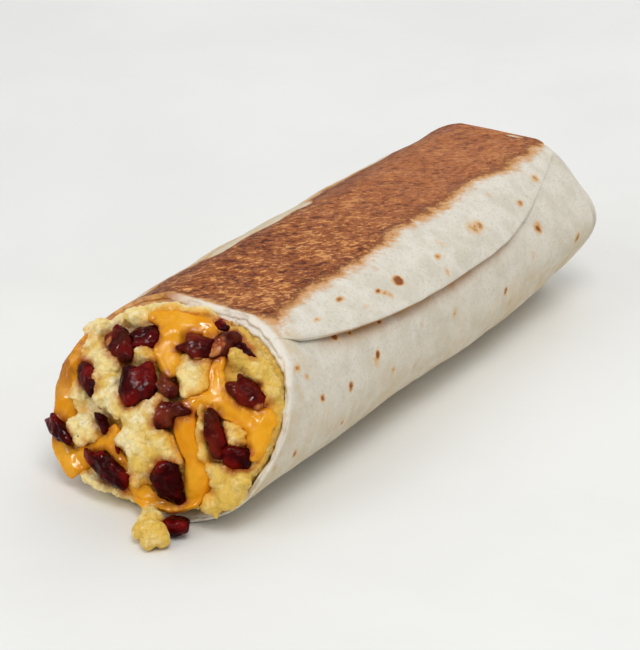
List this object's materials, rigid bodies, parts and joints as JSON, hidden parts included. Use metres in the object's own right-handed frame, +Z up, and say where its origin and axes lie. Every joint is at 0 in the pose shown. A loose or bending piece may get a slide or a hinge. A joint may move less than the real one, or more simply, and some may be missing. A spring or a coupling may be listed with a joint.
{
  "type": "burrito",
  "caption": "Grilled flour tortilla rolled round scrambled egg, melted cheese and bacon, open at the front and tucked shut at the back.",
  "frame": {"origin": "middle of the flat underside of the tortilla roll", "axes": "+Z up, +Y along the roll from the open mouth to the tucked end, +X to the side on which the tortilla's free edge lies"},
  "size_m": [0.0635, 0.1856, 0.042],
  "materials": {
    "tortilla": "dry and floury, browned on top by the grill",
    "egg": "soft and moist",
    "cheese": "melted and glossy",
    "bacon": "crisp, dark and greasy"
  },
  "bodies": {
    "root": {"tortilla": "tortilla", "scrambled_egg": "egg", "spilled_curd": "egg", "melted_cheese": "cheese", "bacon_01": "bacon", "bacon_02": "bacon", "bacon_03": "bacon", "bacon_04": "bacon", "bacon_05": "bacon", "bacon_06": "bacon", "bacon_07": "bacon", "bacon_08": "bacon", "bacon_09": "bacon", "bacon_10": "bacon", "bacon_11": "bacon", "bacon_12": "bacon", "bacon_13": "bacon", "bacon_14": "bacon", "bacon_15": "bacon", "bacon_16": "bacon", "bacon_17": "bacon", "bacon_18": "bacon", "bacon_19": "bacon"}
  },
  "joints": []
}
